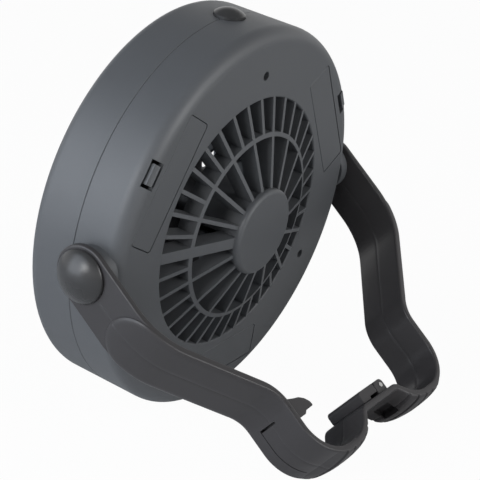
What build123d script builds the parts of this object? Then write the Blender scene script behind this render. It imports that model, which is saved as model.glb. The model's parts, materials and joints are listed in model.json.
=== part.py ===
from build123d import *
from math import asin, atan2, cos, degrees, hypot, radians, sin, sqrt, tan
import os

os.makedirs("parts", exist_ok=True)

# A portable camping fan: a round two-part casing that holds the motor, the
# impeller and six AA cells, on a bent flat bail that is its stand and hanger.
# The frame has +Z up and +X along the bail's pivots. The fan blows towards -Y,
# and the origin is on the ground under the middle of the part.

# ---- Driving sizes, millimetres and degrees ------------------------------

# Casing
body_radius = 100.0
body_depth = 51.5
rear_depth = 26.0
wall = 2.4
rear_edge = 7.5
front_edge = 5.5
duct_wall = 2.0
parting_groove = 0.35
lip_depth = 2.0
lip_wall = 1.2

# Grilles
spoke_width = 2.0
spoke_depth = 9.5
spoke_count = 36
grille_slope = 0.27
grille_ring_radius = 48.1
grille_ring_width = 2.2
hub_radius = 22.5
hub_step = 2.844
hub_edge = 2.0
cup_radius = 21.7
cup_wall = 2.2
cup_front = 13.0
lead_spoke_width = 5.7
lead_channel_width = 3.6
front_grille_depth = 5.5
front_hub_edge = 1.5

# Cells and their boxes
cell_radius = 7.1
cell_length = 50.5
cell_can_length = 49.2
cell_nub_radius = 2.75
first_cell_depth = 10.0
cell_pitch = 15.0
box_rim_space = 13.6
box_duct_space = 3.3
box_width = 15.8
box_half_length = 28.5
box_depth = 33.6
box_wall = 1.6
contact_thickness = 0.5
contact_width = 11.0
contact_reach = 5.7
leaf_width = 3.0

# Battery doors
door_length = 64.6
door_width = 17.2
door_thickness = 2.0
door_corner = 1.6
door_chamfer = 0.3
door_gap = 0.35
door_ledge = 2.0
door_hook_offset = 20.0
door_hook_width = 8.0
door_hook_thickness = 1.2
door_hook_slot = 4.0
door_catch_length = 3.0

# Latch finger beside each door
latch_width = 10.0
latch_gap = 1.7
latch_stand = 0.4
latch_thickness = 2.0
latch_head = 3.4
latch_head_depth = 4.0
latch_window_inset = 9.4
latch_window_rim = 2.2
latch_finger_inset = 7.0

# Case screws
case_screw_inset = 22.3
case_screw_hole = 2.3
case_screw_head = 2.1
case_screw_head_height = 1.8
case_screw_shank = 1.2
case_screw_seat = 8.0
case_screw_front_space = 11.5
case_screw_cross = 2.6
case_screw_cross_width = 0.6
case_screw_cross_depth = 0.9
case_post_radius = 4.2

# Power button and switch
button_radius = 7.7
button_rise = 4.0
button_edge_rise = 1.2
button_travel = 1.2
button_flange_radius = 9.2
button_flange_thickness = 1.4
button_stem_radius = 2.5
button_hole_inset = 10.0
board_inset = 16.0
board_thickness = 1.6
board_half_width = 13.7
board_start = 6.0
board_end = 36.0
switch_size = 10.0
switch_height = 6.0
plunger_radius = 2.0
rail_width = 3.0

# Motor and impeller
motor_radius = 12.2
motor_rear = -6.5
motor_cap_depth = 2.0
motor_nose_radius = 3.0
motor_nose_length = 1.6
shaft_radius = 1.0
shaft_start = 5.0
shaft_end = 37.0
bracket_thickness = 2.0
bracket_screw_circle = 17.3
bracket_boss_radius = 2.6
bracket_screw_radius = 0.9
bracket_screw_depth = 7.0
motor_screw_depth = 5.0
plate_screw_head = 1.2
motor_screw_circle = 7.5
impeller_hub_radius = 18.0
impeller_hub_wall = 2.2
impeller_rear = 17.6
impeller_front = 38.0
impeller_boss_radius = 4.0
impeller_boss_rear = 22.0
impeller_edge = 3.0
blade_count = 5
blade_start = 15.0
blade_tip_gap = 3.0
blade_middle = 28.0
blade_root_chord = 20.0
blade_tip_chord = 40.0
blade_root_pitch = 44.0
blade_tip_pitch = 24.0
blade_thickness = 1.8

# Pivots
pivot_depth = 13.0
pivot_boss_radius = 12.7
pivot_boss_rise = 3.5
pivot_post_radius = 7.0
pivot_post_length = 10.0
pivot_screw_radius = 2.1
pivot_head_radius = 3.8
pivot_head_height = 2.2
pivot_nut_size = 7.0
pivot_nut_thickness = 3.2
washer_radius = 12.0
washer_thickness = 1.0
cap_radius = 13.0
cap_rise = 7.4
cap_skirt = 1.4
cap_plug_outer = 9.6
cap_plug_inner = 8.0
cap_plug_depth = 1.5

# Bail, in the frame of its pivot: x along the axis, u along the bail
bail_width = 29.6
bail_wall = 3.8
pad_rise = 1.0
pad_start = 39.5
elbow_start = 28.0
elbow_radius = 41.0
neck_outer = 61.6
neck_radius = 18.0
neck_length = 11.7614
lobe_side_radius = 22.0
lobe_corner = 25.0
lobe_corner_radius = 24.0
notch_rise = 10.4
notch_radius = 3.1
grip_count = 4
grip_start = 4.0
grip_pitch = 11.0
grip_width = 1.6
grip_rise = 2.0
slot_height = 11.0
slot_middle = -2.5
slot_gap = 1.2
slot_shift = 2.7614
step_pocket_length = 7.0
step_pocket_floor = 1.2
groove_width = 0.6
groove_depth = 0.5
anchor_x = 54.2
anchor_shift = 4.2614
anchor_radius = 4.3
anchor_hole = 1.6
anchor_height = 9.0

# Line clip at the middle of the bail
clip_low = -11.4
clip_high = 12.7
clip_half_length = 11.0
clip_depth = 6.0
clip_pin_x = -8.0
clip_pin_radius = 1.2
clip_pocket_end = 4.0
clip_pocket_depth = 2.3
clip_knuckle_radius = 2.6
clip_knuckle_low = -3.6
clip_knuckle_high = 1.0
clip_ear_low = -4.0
clip_ear_high = 4.8
clip_ear_end = -3.2
clip_wire = 0.9

# Clearances and leads
running = 0.05
body_gap = 0.3
screw_gap = 0.15
lead_radius = 0.8
lead_front_space = 9.5
lead_circle_shift = 4.8
lead_bend = 4.0
lead_turn = 1.6
lead_motor_space = 1.8
lead_step = 18.0
lead_step_off = 9.0

# Stance
lean = 7.2

# ---- Sizes that follow ---------------------------------------------------

# Casing, from its rim inwards: battery boxes, duct and grille opening.
box_distance = body_radius - box_rim_space - box_width / 2
duct_radius = box_distance - box_width / 2 - box_duct_space
opening_radius = duct_radius - duct_wall
blade_tip_radius = opening_radius - blade_tip_gap
hub_rise = grille_slope * (opening_radius - hub_radius) + hub_step
lead_circle = box_distance + lead_circle_shift
lead_depth = body_depth - lead_front_space
case_screw_end = body_depth - case_screw_front_space
latch_window_start = body_radius - latch_window_inset
latch_window_end = body_radius - latch_window_rim
latch_finger_start = body_radius - latch_finger_inset
case_screw_distance = body_radius - case_screw_inset
board_distance = body_radius - board_inset
button_hole_base = body_radius - button_hole_inset
button_shoulder = body_radius + button_edge_rise
button_top = body_radius + button_rise

# Bail, from the casing's pivot bosses outwards and then down: arm, elbow, neck and lobe.
pivot_boss_face = body_radius + pivot_boss_rise
arm_inner = pivot_boss_face + washer_thickness + 2 * running
arm_outer = arm_inner + bail_wall
arm_middle = arm_inner + bail_wall / 2
elbow_middle = arm_outer - elbow_radius
elbow_sum = elbow_middle + elbow_start + (elbow_radius - bail_wall / 2) * sqrt(2)
neck_middle = neck_outer - bail_wall / 2
neck_bend = (neck_radius + bail_wall / 2) * tan(radians(45 / 2))
neck_start = elbow_sum - neck_middle + neck_bend
lobe_reach = neck_start + neck_length + lobe_side_radius
notch_reach = lobe_reach - notch_rise
slot_reach = neck_start + slot_shift
anchor_u = neck_start + anchor_shift

# ---- Planes and axes -----------------------------------------------------

# The casing leans back on its rounded rear edge, and the lower edges of the bail's
# lobes reach the ground behind it.
edge_middle = body_radius - rear_edge
foot_reach = lobe_reach
foot_low = bail_width / 2
lean_sin = sin(radians(lean))
lean_cos = cos(radians(lean))
pivot_height = edge_middle * lean_cos + (pivot_depth - rear_edge) * lean_sin + rear_edge
bail_fall = asin(pivot_height / hypot(foot_reach, foot_low)) - atan2(foot_low, foot_reach)

# Middle of the ground between the front rim's foremost point and the lobes.
front_reach = body_depth * lean_cos + (body_radius - front_edge) * lean_sin + front_edge * (
    1 - lean_cos
)
rear_reach = (
    foot_reach * cos(bail_fall) + foot_low * sin(bail_fall) - pivot_depth * lean_cos
)
center_y = (front_reach - rear_reach) / 2

# fan: x along the pivots, y up the casing, z forwards from the rear face.
fan = Plane(
    origin=(0, center_y, pivot_height - pivot_depth * lean_sin),
    x_dir=(1, 0, 0),
    z_dir=(0, -lean_cos, lean_sin),
)
# radial: x outwards from the fan axis, y forwards, for turned profiles.
radial = Plane(origin=fan.origin, x_dir=(1, 0, 0), z_dir=-fan.y_dir)
fan_axis = Axis(fan.origin, fan.z_dir)
pivot_point = fan.origin + fan.z_dir * pivot_depth
# bail: x along the pivots, y down the bail, z square to its strap's edge.
bail_plane = Plane(
    origin=pivot_point,
    x_dir=(1, 0, 0),
    z_dir=(0, sin(bail_fall), cos(bail_fall)),
)
button_depth = rear_depth


def sector(angle, depth=0):
    """Plane across the fan axis: x along the rim, y outwards at an angle from the top."""
    along = fan.x_dir * cos(radians(angle)) - fan.y_dir * sin(radians(angle))
    return Plane(origin=fan.origin, x_dir=along, z_dir=fan.z_dir).offset(depth)


def sector_side(angle):
    """Plane through the fan axis at an angle from the top: x outwards, y forwards."""
    across = sector(angle)
    return Plane(origin=fan.origin, x_dir=across.y_dir, z_dir=across.x_dir)


def side_plane(distance):
    """Plane square to the pivot axis, x down the bail, facing away from the fan."""
    side = 1 if distance > 0 else -1
    return Plane(
        origin=pivot_point + Vector(distance, 0, 0),
        x_dir=bail_plane.y_dir,
        z_dir=(side, 0, 0),
    )


def fan_point(x, y, depth):
    """World point from a place in the fan's own frame."""
    return fan.from_local_coords((x, y, depth))


def rim_point(angle, radius, depth):
    """World point at an angle from the top, a radius and a depth."""
    return fan_point(radius * sin(radians(angle)), radius * cos(radians(angle)), depth)


def lead(points, bend):
    """A round lead through the given world points, with one bend radius."""
    with BuildPart() as wire:
        with BuildLine() as route:
            FilletPolyline(*points, radius=bend)
        start = Plane(origin=route.line @ 0, z_dir=route.line % 0)
        with BuildSketch(start):
            Circle(lead_radius)
        sweep(path=route.line)
    return wire.part


box_angles = {"right": 60, "bottom": 180, "left": 300}
screw_angles = (0, 120, 240)
box_inner = box_distance - box_width / 2
box_outer = box_distance + box_width / 2
door_inner = box_distance - door_width / 2
door_outer = box_distance + door_width / 2
ledge_inner = door_inner - door_gap - box_wall
ledge_outer = door_outer + door_gap + box_wall
ledge_front = door_thickness + door_gap + door_ledge
ledge_half = door_length / 2 + door_gap + box_wall
latch_root = box_depth - 3.0
lead_hole_end = lead_radius - box_half_length
low_lead_distance = box_distance - 2.5
high_lead_distance = box_distance + 5.2

button_base = Plane(origin=fan_point(0, button_hole_base, button_depth), z_dir=fan.y_dir)

# ---- Grilles -------------------------------------------------------------

ring_inner = grille_ring_radius - grille_ring_width / 2
ring_outer = grille_ring_radius + grille_ring_width / 2
spoke_overlap = 0.5
turn = 360 / spoke_count


def grille_strips(level, height):
    """Rings and spokes of one grille, as straight walls of a given height."""
    inner_end = cup_radius - spoke_overlap
    outer_end = opening_radius + spoke_overlap
    with BuildPart() as strips:
        with BuildSketch(fan.offset(level)):
            Circle(ring_outer)
            Circle(ring_inner, mode=Mode.SUBTRACT)
            with PolarLocations((outer_end + grille_ring_radius) / 2, spoke_count, 90):
                Rectangle(outer_end - grille_ring_radius, spoke_width)
            with PolarLocations(
                (inner_end + grille_ring_radius) / 2, spoke_count // 2, 90 - turn
            ):
                Rectangle(grille_ring_radius - inner_end, spoke_width)
            with Locations(((inner_end + outer_end) / 2, 0)):
                Rectangle(outer_end - inner_end, lead_spoke_width)
        extrude(amount=height)
    return strips.part


def cone_depth(radius):
    """Depth of the rear grille's outer face at a radius."""
    return -grille_slope * (opening_radius - radius)


with BuildPart() as rear_grille:
    add(grille_strips(-hub_rise, hub_rise + spoke_depth + spoke_overlap))
    with BuildSketch(radial):
        near = cup_radius - 2 * spoke_overlap
        far = opening_radius + 2 * spoke_overlap
        Polygon(
            (near, cone_depth(near)),
            (far, cone_depth(far)),
            (far, cone_depth(far) + spoke_depth),
            (near, cone_depth(near) + spoke_depth),
            align=None,
        )
    revolve(axis=fan_axis, mode=Mode.INTERSECT)

with BuildPart() as front_grille:
    add(grille_strips(body_depth - front_grille_depth, front_grille_depth))

# ---- Rear shell ----------------------------------------------------------

with BuildPart() as rear_shell:
    # Turned casing: face, rounded edge, side wall and duct wall.
    with BuildSketch(radial):
        with BuildLine():
            FilletPolyline(
                (opening_radius, 0),
                (body_radius, 0),
                (body_radius, rear_depth - parting_groove),
                (body_radius - parting_groove, rear_depth),
                (body_radius - wall, rear_depth),
                (body_radius - wall, wall),
                (duct_radius, wall),
                (duct_radius, rear_depth),
                (opening_radius, rear_depth),
                radius=[1.0, rear_edge, 0, 0, 0, rear_edge - wall, 1.0, 0, 0],
                close=True,
            )
        make_face()
    revolve(axis=fan_axis)

    # Hub disc and motor cup.
    with BuildSketch(radial):
        with BuildLine():
            FilletPolyline(
                (0, -hub_rise),
                (hub_radius, -hub_rise),
                (hub_radius, cone_depth(hub_radius) + spoke_overlap),
                (cup_radius, cone_depth(hub_radius) + spoke_overlap),
                (cup_radius, cup_front),
                (cup_radius - cup_wall, cup_front),
                (cup_radius - cup_wall, cup_wall - hub_rise),
                (0, cup_wall - hub_rise),
                radius=[0, hub_edge, 0, 0, 0, 0, 0, 0],
                close=True,
            )
        make_face()
    revolve(axis=fan_axis)
    with BuildSketch(fan.offset(cup_wall - hub_rise)):
        with PolarLocations(bracket_screw_circle, 3, 30):
            Circle(bracket_boss_radius)
        Circle(cup_radius - spoke_overlap, mode=Mode.INTERSECT)
    extrude(amount=cup_front + hub_rise - cup_wall)
    with BuildSketch(fan.offset(cup_wall - hub_rise)):
        rib_outer = cup_radius - cup_wall / 2
        rib_inner = motor_radius + 2 * running
        with PolarLocations((rib_outer + rib_inner) / 2, 3, 90):
            Rectangle(rib_outer - rib_inner, spoke_width)
    extrude(amount=cup_front / 2 + hub_rise - cup_wall)
    with BuildSketch(fan.offset(cup_front)):
        with PolarLocations(bracket_screw_circle, 3, 30):
            Circle(bracket_screw_radius)
    extrude(amount=-bracket_screw_depth, mode=Mode.SUBTRACT)

    # Battery boxes behind the doors, open to the rear.
    for angle in box_angles.values():
        with BuildSketch(sector(angle, wall / 2)):
            with Locations((0, (ledge_inner + ledge_outer) / 2)):
                Rectangle(2 * ledge_half, ledge_outer - ledge_inner)
        extrude(amount=ledge_front - wall / 2)
        with BuildSketch(sector(angle, wall / 2)):
            with Locations((0, box_distance)):
                Rectangle(2 * (box_half_length + box_wall), box_width + 2 * box_wall)
        extrude(amount=box_depth + box_wall - wall / 2)
        with BuildSketch(sector(angle, -1)):
            with Locations((0, box_distance)):
                Rectangle(2 * box_half_length, box_width)
        extrude(amount=box_depth + 1, mode=Mode.SUBTRACT)
        with BuildSketch(sector(angle, -1)):
            with Locations((0, box_distance)):
                RectangleRounded(
                    door_length + 2 * door_gap, door_width + 2 * door_gap, door_corner + door_gap
                )
        extrude(amount=1 + door_thickness + door_gap, mode=Mode.SUBTRACT)
        # Notches that take the door's two hooks under the rear face.
        with BuildSketch(sector(angle, wall + running)):
            with Locations(
                (-door_hook_offset, (duct_radius + box_inner) / 2 + body_gap),
                (door_hook_offset, (duct_radius + box_inner) / 2 + body_gap),
            ):
                Rectangle(door_hook_width + 1, box_inner - duct_radius)
        extrude(amount=door_hook_slot, mode=Mode.SUBTRACT)
        # Latch window through the rounded edge, and the finger whose head stands in it.
        with BuildSketch(sector(angle, -1)):
            with Locations((0, (latch_window_start + latch_window_end) / 2)):
                Rectangle(latch_width + 2 * latch_gap, latch_window_end - latch_window_start)
        extrude(amount=1 + rear_edge, mode=Mode.SUBTRACT)
        finger_outer = latch_finger_start + latch_thickness
        head_outer = latch_finger_start + latch_head
        head_radius = rear_edge + latch_stand
        head_inner_back = sqrt(head_radius**2 - (latch_finger_start - edge_middle) ** 2)
        head_outer_back = sqrt(head_radius**2 - (head_outer - edge_middle) ** 2)
        with BuildSketch(sector_side(angle)):
            with BuildLine():
                Polyline(
                    (latch_finger_start, rear_edge - head_inner_back),
                    (latch_finger_start, latch_root),
                    (box_outer + box_wall / 2, latch_root),
                    (box_outer + box_wall / 2, box_depth + box_wall),
                    (finger_outer, box_depth + box_wall),
                    (finger_outer, latch_head_depth),
                    (head_outer, latch_head_depth),
                    (head_outer, rear_edge - head_outer_back),
                )
                RadiusArc(
                    (head_outer, rear_edge - head_outer_back),
                    (latch_finger_start, rear_edge - head_inner_back),
                    -head_radius,
                )
            make_face()
        extrude(amount=latch_width / 2, both=True)
        # Holes that let the leads reach the end contacts.
        with BuildSketch(sector(angle, box_depth - 1)):
            with Locations((lead_hole_end, low_lead_distance), (lead_hole_end, high_lead_distance)):
                Circle(lead_radius + running)
        extrude(amount=box_wall + 2, mode=Mode.SUBTRACT)

    # Screw posts with recessed heads.
    for angle in screw_angles:
        with BuildSketch(sector(angle, wall / 2)):
            with Locations((0, case_screw_distance)):
                Circle(case_post_radius)
        extrude(amount=rear_depth - wall / 2)
        with BuildSketch(sector(angle, -1)):
            with Locations((0, case_screw_distance)):
                Circle(case_screw_hole)
        extrude(amount=1 + case_screw_seat, mode=Mode.SUBTRACT)
        with BuildSketch(sector(angle, -1)):
            with Locations((0, case_screw_distance)):
                Circle(case_screw_shank + screw_gap)
        extrude(amount=rear_depth + 2, mode=Mode.SUBTRACT)

    # Rails that hold the switch board.
    rail_back = board_half_width - 1.5
    with BuildSketch(sector(0, wall / 2)):
        with Locations(
            (-(rail_back + rail_width / 2), board_distance + board_thickness / 2),
            (rail_back + rail_width / 2, board_distance + board_thickness / 2),
        ):
            Rectangle(rail_width, board_thickness + 4)
    extrude(amount=board_end - wall / 2 - 2)
    with BuildSketch(sector(0, board_start)):
        with Locations((0, board_distance + board_thickness / 2)):
            Rectangle(2 * (board_half_width + running), board_thickness + 2 * running)
    extrude(amount=board_end, mode=Mode.SUBTRACT)

    # Pivot bosses and the bores of the pivot screws.
    for side in (1, -1):
        with BuildSketch(side_plane(side * (body_radius - wall / 2 - 1))):
            Circle(pivot_boss_radius)
        extrude(amount=pivot_boss_face - body_radius + wall / 2 + 1)
        with BuildSketch(side_plane(side * (body_radius - pivot_post_length))):
            Circle(pivot_post_radius)
        extrude(amount=pivot_post_length)
        with BuildSketch(side_plane(side * (body_radius - pivot_post_length - 1))):
            Circle(pivot_screw_radius + running)
        extrude(amount=pivot_boss_face, mode=Mode.SUBTRACT)

    # Half of the button's hole.
    with BuildSketch(button_base):
        Circle(button_radius + body_gap)
    extrude(amount=body_radius, mode=Mode.SUBTRACT)

    # Grille, and the channel of the motor leads along its wide spoke and through both walls.
    add(rear_grille.part)
    with BuildSketch(radial):
        channel_start = motor_radius + 4
        channel_end = duct_radius + 2
        Polygon(
            (channel_start, cone_depth(channel_start) + spoke_depth / 2),
            (channel_end, cone_depth(channel_end) + spoke_depth / 2),
            (channel_end, spoke_depth + 2),
            (channel_start, spoke_depth + 2),
            align=None,
        )
    extrude(amount=lead_channel_width / 2, both=True, mode=Mode.SUBTRACT)
rear_shell.part.label = "rear_shell"
export_step(rear_shell.part, "parts/rear_shell.step")

# ---- Front shell ---------------------------------------------------------

with BuildPart() as front_shell:
    with BuildSketch(radial):
        with BuildLine():
            FilletPolyline(
                (opening_radius, rear_depth),
                (duct_radius, rear_depth),
                (duct_radius, body_depth - wall),
                (body_radius - wall, body_depth - wall),
                (body_radius - wall, rear_depth),
                (body_radius - parting_groove, rear_depth),
                (body_radius, rear_depth + parting_groove),
                (body_radius, body_depth),
                (opening_radius, body_depth),
                radius=[0, 0, 1.0, front_edge - wall, 0, 0, 0, front_edge, 1.0],
                close=True,
            )
        make_face()
    revolve(axis=fan_axis)
    with BuildSketch(radial):
        with BuildLine():
            FilletPolyline(
                (0, body_depth - front_grille_depth),
                (hub_radius, body_depth - front_grille_depth),
                (hub_radius, body_depth),
                (0, body_depth),
                radius=[0, 0, front_hub_edge, 0],
                close=True,
            )
        make_face()
    revolve(axis=fan_axis)
    # Lip that slides inside the rear shell's wall.
    lip_outer = body_radius - wall - 2 * running
    with BuildSketch(radial):
        Polygon(
            (lip_outer, rear_depth - lip_depth),
            (lip_outer, rear_depth),
            (body_radius - wall / 2, rear_depth),
            (body_radius - wall / 2, rear_depth + lip_depth),
            (lip_outer - lip_wall, rear_depth + lip_depth),
            (lip_outer - lip_wall, rear_depth - lip_depth),
            align=None,
        )
    revolve(axis=fan_axis)
    # Posts that take the case screws.
    for angle in screw_angles:
        with BuildSketch(sector(angle, rear_depth)):
            with Locations((0, case_screw_distance)):
                Circle(case_post_radius)
        extrude(amount=body_depth - rear_depth - wall / 2)
        with BuildSketch(sector(angle, rear_depth - 1)):
            with Locations((0, case_screw_distance)):
                Circle(case_screw_shank)
        extrude(amount=case_screw_end - rear_depth + 2, mode=Mode.SUBTRACT)
    with BuildSketch(button_base):
        Circle(button_flange_radius + body_gap)
    extrude(amount=body_radius - wall - button_hole_base, mode=Mode.SUBTRACT)
    with BuildSketch(button_base):
        Circle(button_radius + body_gap)
    extrude(amount=body_radius, mode=Mode.SUBTRACT)
    add(front_grille.part)
front_shell.part.label = "front_shell"
export_step(front_shell.part, "parts/front_shell.step")

# ---- Battery doors -------------------------------------------------------


def battery_door(angle):
    """Door plate with two hooks at its inner edge and a catch leg at its outer edge."""
    hook_back = box_inner + 2 * body_gap
    hook_tip = door_inner - door_gap - 1.0
    hook_level = wall + body_gap
    with BuildPart() as door:
        with BuildSketch(sector(angle)):
            with Locations((0, box_distance)):
                RectangleRounded(door_length, door_width, door_corner)
        extrude(amount=door_thickness)
        chamfer(door.faces().sort_by(fan_axis)[0].edges(), door_chamfer)
        for offset in (-door_hook_offset, door_hook_offset):
            with BuildSketch(sector(angle, door_thickness / 2)):
                with Locations((offset, hook_back + door_hook_thickness / 2)):
                    Rectangle(door_hook_width, door_hook_thickness)
            extrude(amount=hook_level + door_hook_thickness - door_thickness / 2)
            with BuildSketch(sector(angle, hook_level)):
                with Locations((offset, (hook_tip + hook_back + door_hook_thickness) / 2)):
                    Rectangle(door_hook_width, hook_back + door_hook_thickness - hook_tip)
            extrude(amount=door_hook_thickness)
        with BuildSketch(sector(angle, door_thickness / 2)):
            with Locations((0, box_outer - 4 * body_gap - door_hook_thickness / 2)):
                Rectangle(latch_width, door_hook_thickness)
        extrude(amount=door_thickness / 2 + door_catch_length)
    return door.part


battery_door_right = battery_door(box_angles["right"])
battery_door_right.label = "battery_door_right"
export_step(battery_door_right, "parts/battery_door_right.step")

battery_door_bottom = battery_door(box_angles["bottom"])
battery_door_bottom.label = "battery_door_bottom"
export_step(battery_door_bottom, "parts/battery_door_bottom.step")

battery_door_left = battery_door(box_angles["left"])
battery_door_left.label = "battery_door_left"
export_step(battery_door_left, "parts/battery_door_left.step")

# ---- Cells and contacts --------------------------------------------------

second_cell_depth = first_cell_depth + cell_pitch
cell_slack = box_half_length - contact_thickness - cell_length / 2
contact_start = first_cell_depth - contact_reach
contact_end = second_cell_depth + contact_reach
contact_split = (first_cell_depth + second_cell_depth) / 2


def cell(angle, depth, way):
    """AA cell lying along the rim; its nub points along the rim when way is 1."""
    along = sector(angle).x_dir * way
    middle = sector(angle).from_local_coords((way * cell_slack, box_distance, depth))
    tail = Plane(origin=middle - along * cell_length / 2, z_dir=along)
    with BuildPart() as body:
        with BuildSketch(tail):
            Circle(cell_radius)
        extrude(amount=cell_can_length)
        with BuildSketch(tail.offset(cell_can_length)):
            Circle(cell_nub_radius)
        extrude(amount=cell_length - cell_can_length)
    return body.part


for place, angle in box_angles.items():
    for letter, level, way in (("a", 0, 1), ("b", 1, -1)):
        one_cell = cell(angle, first_cell_depth + level * cell_pitch, way)
        one_cell.label = f"cell_{place}_{letter}"
        export_step(one_cell, f"parts/cell_{place}_{letter}.step")


def contact_plate(angle, end, span, depths):
    """Stamped contact strip at one end of a box, over a span outwards and a span of depth."""
    middle = end * (box_half_length - contact_thickness / 2)
    with BuildPart() as strip:
        with BuildSketch(sector(angle, depths[0])):
            with Locations((middle, (span[0] + span[1]) / 2)):
                Rectangle(contact_thickness, span[1] - span[0])
        extrude(amount=depths[1] - depths[0])
    return strip.part


def contact_leaf(angle, end, distance, depth):
    """Sprung leaf that stands off a contact strip and presses on a cell's flat end."""
    face = end * (box_half_length - contact_thickness / 2)
    reach = 2 * cell_slack - contact_thickness / 2
    across = sector(angle)
    with BuildPart() as strip:
        with BuildSketch(
            Plane(
                origin=across.from_local_coords((0, distance, depth)),
                x_dir=across.x_dir,
                z_dir=-across.y_dir,
            )
        ):
            with BuildLine():
                FilletPolyline(
                    (face, -reach),
                    (face - end * reach, 0),
                    (face - end * reach / 3, reach * 0.8),
                    radius=1.0,
                )
            trace(line_width=contact_thickness * 0.8)
        extrude(amount=leaf_width / 2, both=True)
    return strip.part


link_span = (box_distance - contact_width / 2, box_distance + contact_width / 2)
with BuildPart() as contact_links:
    for angle in box_angles.values():
        add(contact_plate(angle, 1, link_span, (contact_start, contact_end)))
        add(contact_leaf(angle, 1, box_distance, second_cell_depth))
contact_links.part.label = "contact_links"
export_step(contact_links.part, "parts/contact_links.step")

low_span = (box_distance - contact_width / 2, box_distance + contact_width / 2 - 3.0)
tab_span = (low_span[1] + 1.0, box_outer - body_gap)
with BuildPart() as contact_ends:
    for angle in box_angles.values():
        first_span = (low_span[0], tab_span[1])
        add(contact_plate(angle, -1, first_span, (contact_start, contact_split - 0.5)))
        add(contact_plate(angle, -1, tab_span, (contact_start, contact_end)))
        add(contact_leaf(angle, -1, box_distance, first_cell_depth))
        add(contact_plate(angle, -1, low_span, (contact_split + 0.5, contact_end)))
contact_ends.part.label = "contact_ends"
export_step(contact_ends.part, "parts/contact_ends.step")

# ---- Motor ---------------------------------------------------------------

with BuildPart() as motor_can:
    with BuildSketch(radial):
        with BuildLine():
            FilletPolyline(
                (0, motor_rear),
                (motor_radius, motor_rear),
                (motor_radius, cup_front),
                (motor_nose_radius, cup_front),
                (motor_nose_radius, cup_front + motor_nose_length),
                (shaft_radius + running, cup_front + motor_nose_length),
                (shaft_radius + running, shaft_start - 1),
                (0, shaft_start - 1),
                radius=[0, 0, 1.2, 0, 0, 0, 0, 0],
                close=True,
            )
        make_face()
    revolve(axis=fan_axis)
    with BuildSketch(fan.offset(cup_front)):
        with PolarLocations(motor_screw_circle, 2, 0):
            Circle(bracket_screw_radius)
    extrude(amount=-motor_screw_depth, mode=Mode.SUBTRACT)
motor_can.part.label = "motor_can"
export_step(motor_can.part, "parts/motor_can.step")

with BuildPart() as motor_end_cap:
    with BuildSketch(fan.offset(motor_rear)):
        Circle(motor_radius - 1)
    extrude(amount=-motor_cap_depth)
motor_end_cap.part.label = "motor_end_cap"
export_step(motor_end_cap.part, "parts/motor_end_cap.step")

with BuildPart() as motor_shaft:
    with BuildSketch(fan.offset(shaft_start)):
        Circle(shaft_radius)
    extrude(amount=shaft_end - shaft_start)
motor_shaft.part.label = "motor_shaft"
export_step(motor_shaft.part, "parts/motor_shaft.step")

with BuildPart() as motor_bracket:
    with BuildSketch(fan.offset(cup_front)):
        Circle(cup_radius)
        Circle(motor_nose_radius + 2 * running, mode=Mode.SUBTRACT)
        with PolarLocations(bracket_screw_circle, 3, 30):
            Circle(bracket_screw_radius, mode=Mode.SUBTRACT)
        with PolarLocations(motor_screw_circle, 2, 0):
            Circle(bracket_screw_radius, mode=Mode.SUBTRACT)
    extrude(amount=bracket_thickness)
motor_bracket.part.label = "motor_bracket"
export_step(motor_bracket.part, "parts/motor_bracket.step")


def plate_screws(circle, count, start_angle, depth):
    """Small screws through the motor plate, heads towards the impeller."""
    seat = cup_front + bracket_thickness
    with BuildPart() as screws:
        with BuildSketch(fan.offset(seat)):
            with PolarLocations(circle, count, start_angle):
                Circle(bracket_screw_radius)
        extrude(amount=0.5 - bracket_thickness - depth)
        with BuildSketch(fan.offset(seat)):
            with PolarLocations(circle, count, start_angle):
                Circle(2 * bracket_screw_radius)
        extrude(amount=plate_screw_head)
    return screws.part


bracket_screws = plate_screws(bracket_screw_circle, 3, 30, bracket_screw_depth)
bracket_screws.label = "bracket_screws"
export_step(bracket_screws, "parts/bracket_screws.step")

motor_screws = plate_screws(motor_screw_circle, 2, 0, motor_screw_depth)
motor_screws.label = "motor_screws"
export_step(motor_screws, "parts/motor_screws.step")

# ---- Impeller ------------------------------------------------------------


def blade_section(distance):
    """Sketch plane square to a blade's length, and its chord and pitch there."""
    share = (distance - impeller_hub_radius) / (blade_tip_radius - impeller_hub_radius)
    chord = blade_root_chord + (blade_tip_chord - blade_root_chord) * share
    pitch = blade_root_pitch + (blade_tip_pitch - blade_root_pitch) * share
    middle = fan_point(0, distance, blade_middle)
    chord_dir = fan.x_dir * cos(radians(pitch)) - fan.z_dir * sin(radians(pitch))
    return Plane(origin=middle, x_dir=chord_dir, z_dir=fan.y_dir), chord


with BuildPart() as blade:
    for distance in (impeller_hub_radius - 2, 0.5 * blade_tip_radius + 10, blade_tip_radius + 3):
        section, chord = blade_section(distance)
        with BuildSketch(section):
            with BuildLine():
                ThreePointArc((-chord / 2, 0), (0, chord * 0.14), (chord / 2, 0))
                ThreePointArc(
                    (chord / 2, 0), (0, chord * 0.14 - blade_thickness), (-chord / 2, 0)
                )
            make_face()
    loft()
    with BuildSketch(fan.offset(impeller_rear)):
        Circle(blade_tip_radius)
    extrude(amount=impeller_front - impeller_rear, mode=Mode.INTERSECT)

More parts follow.
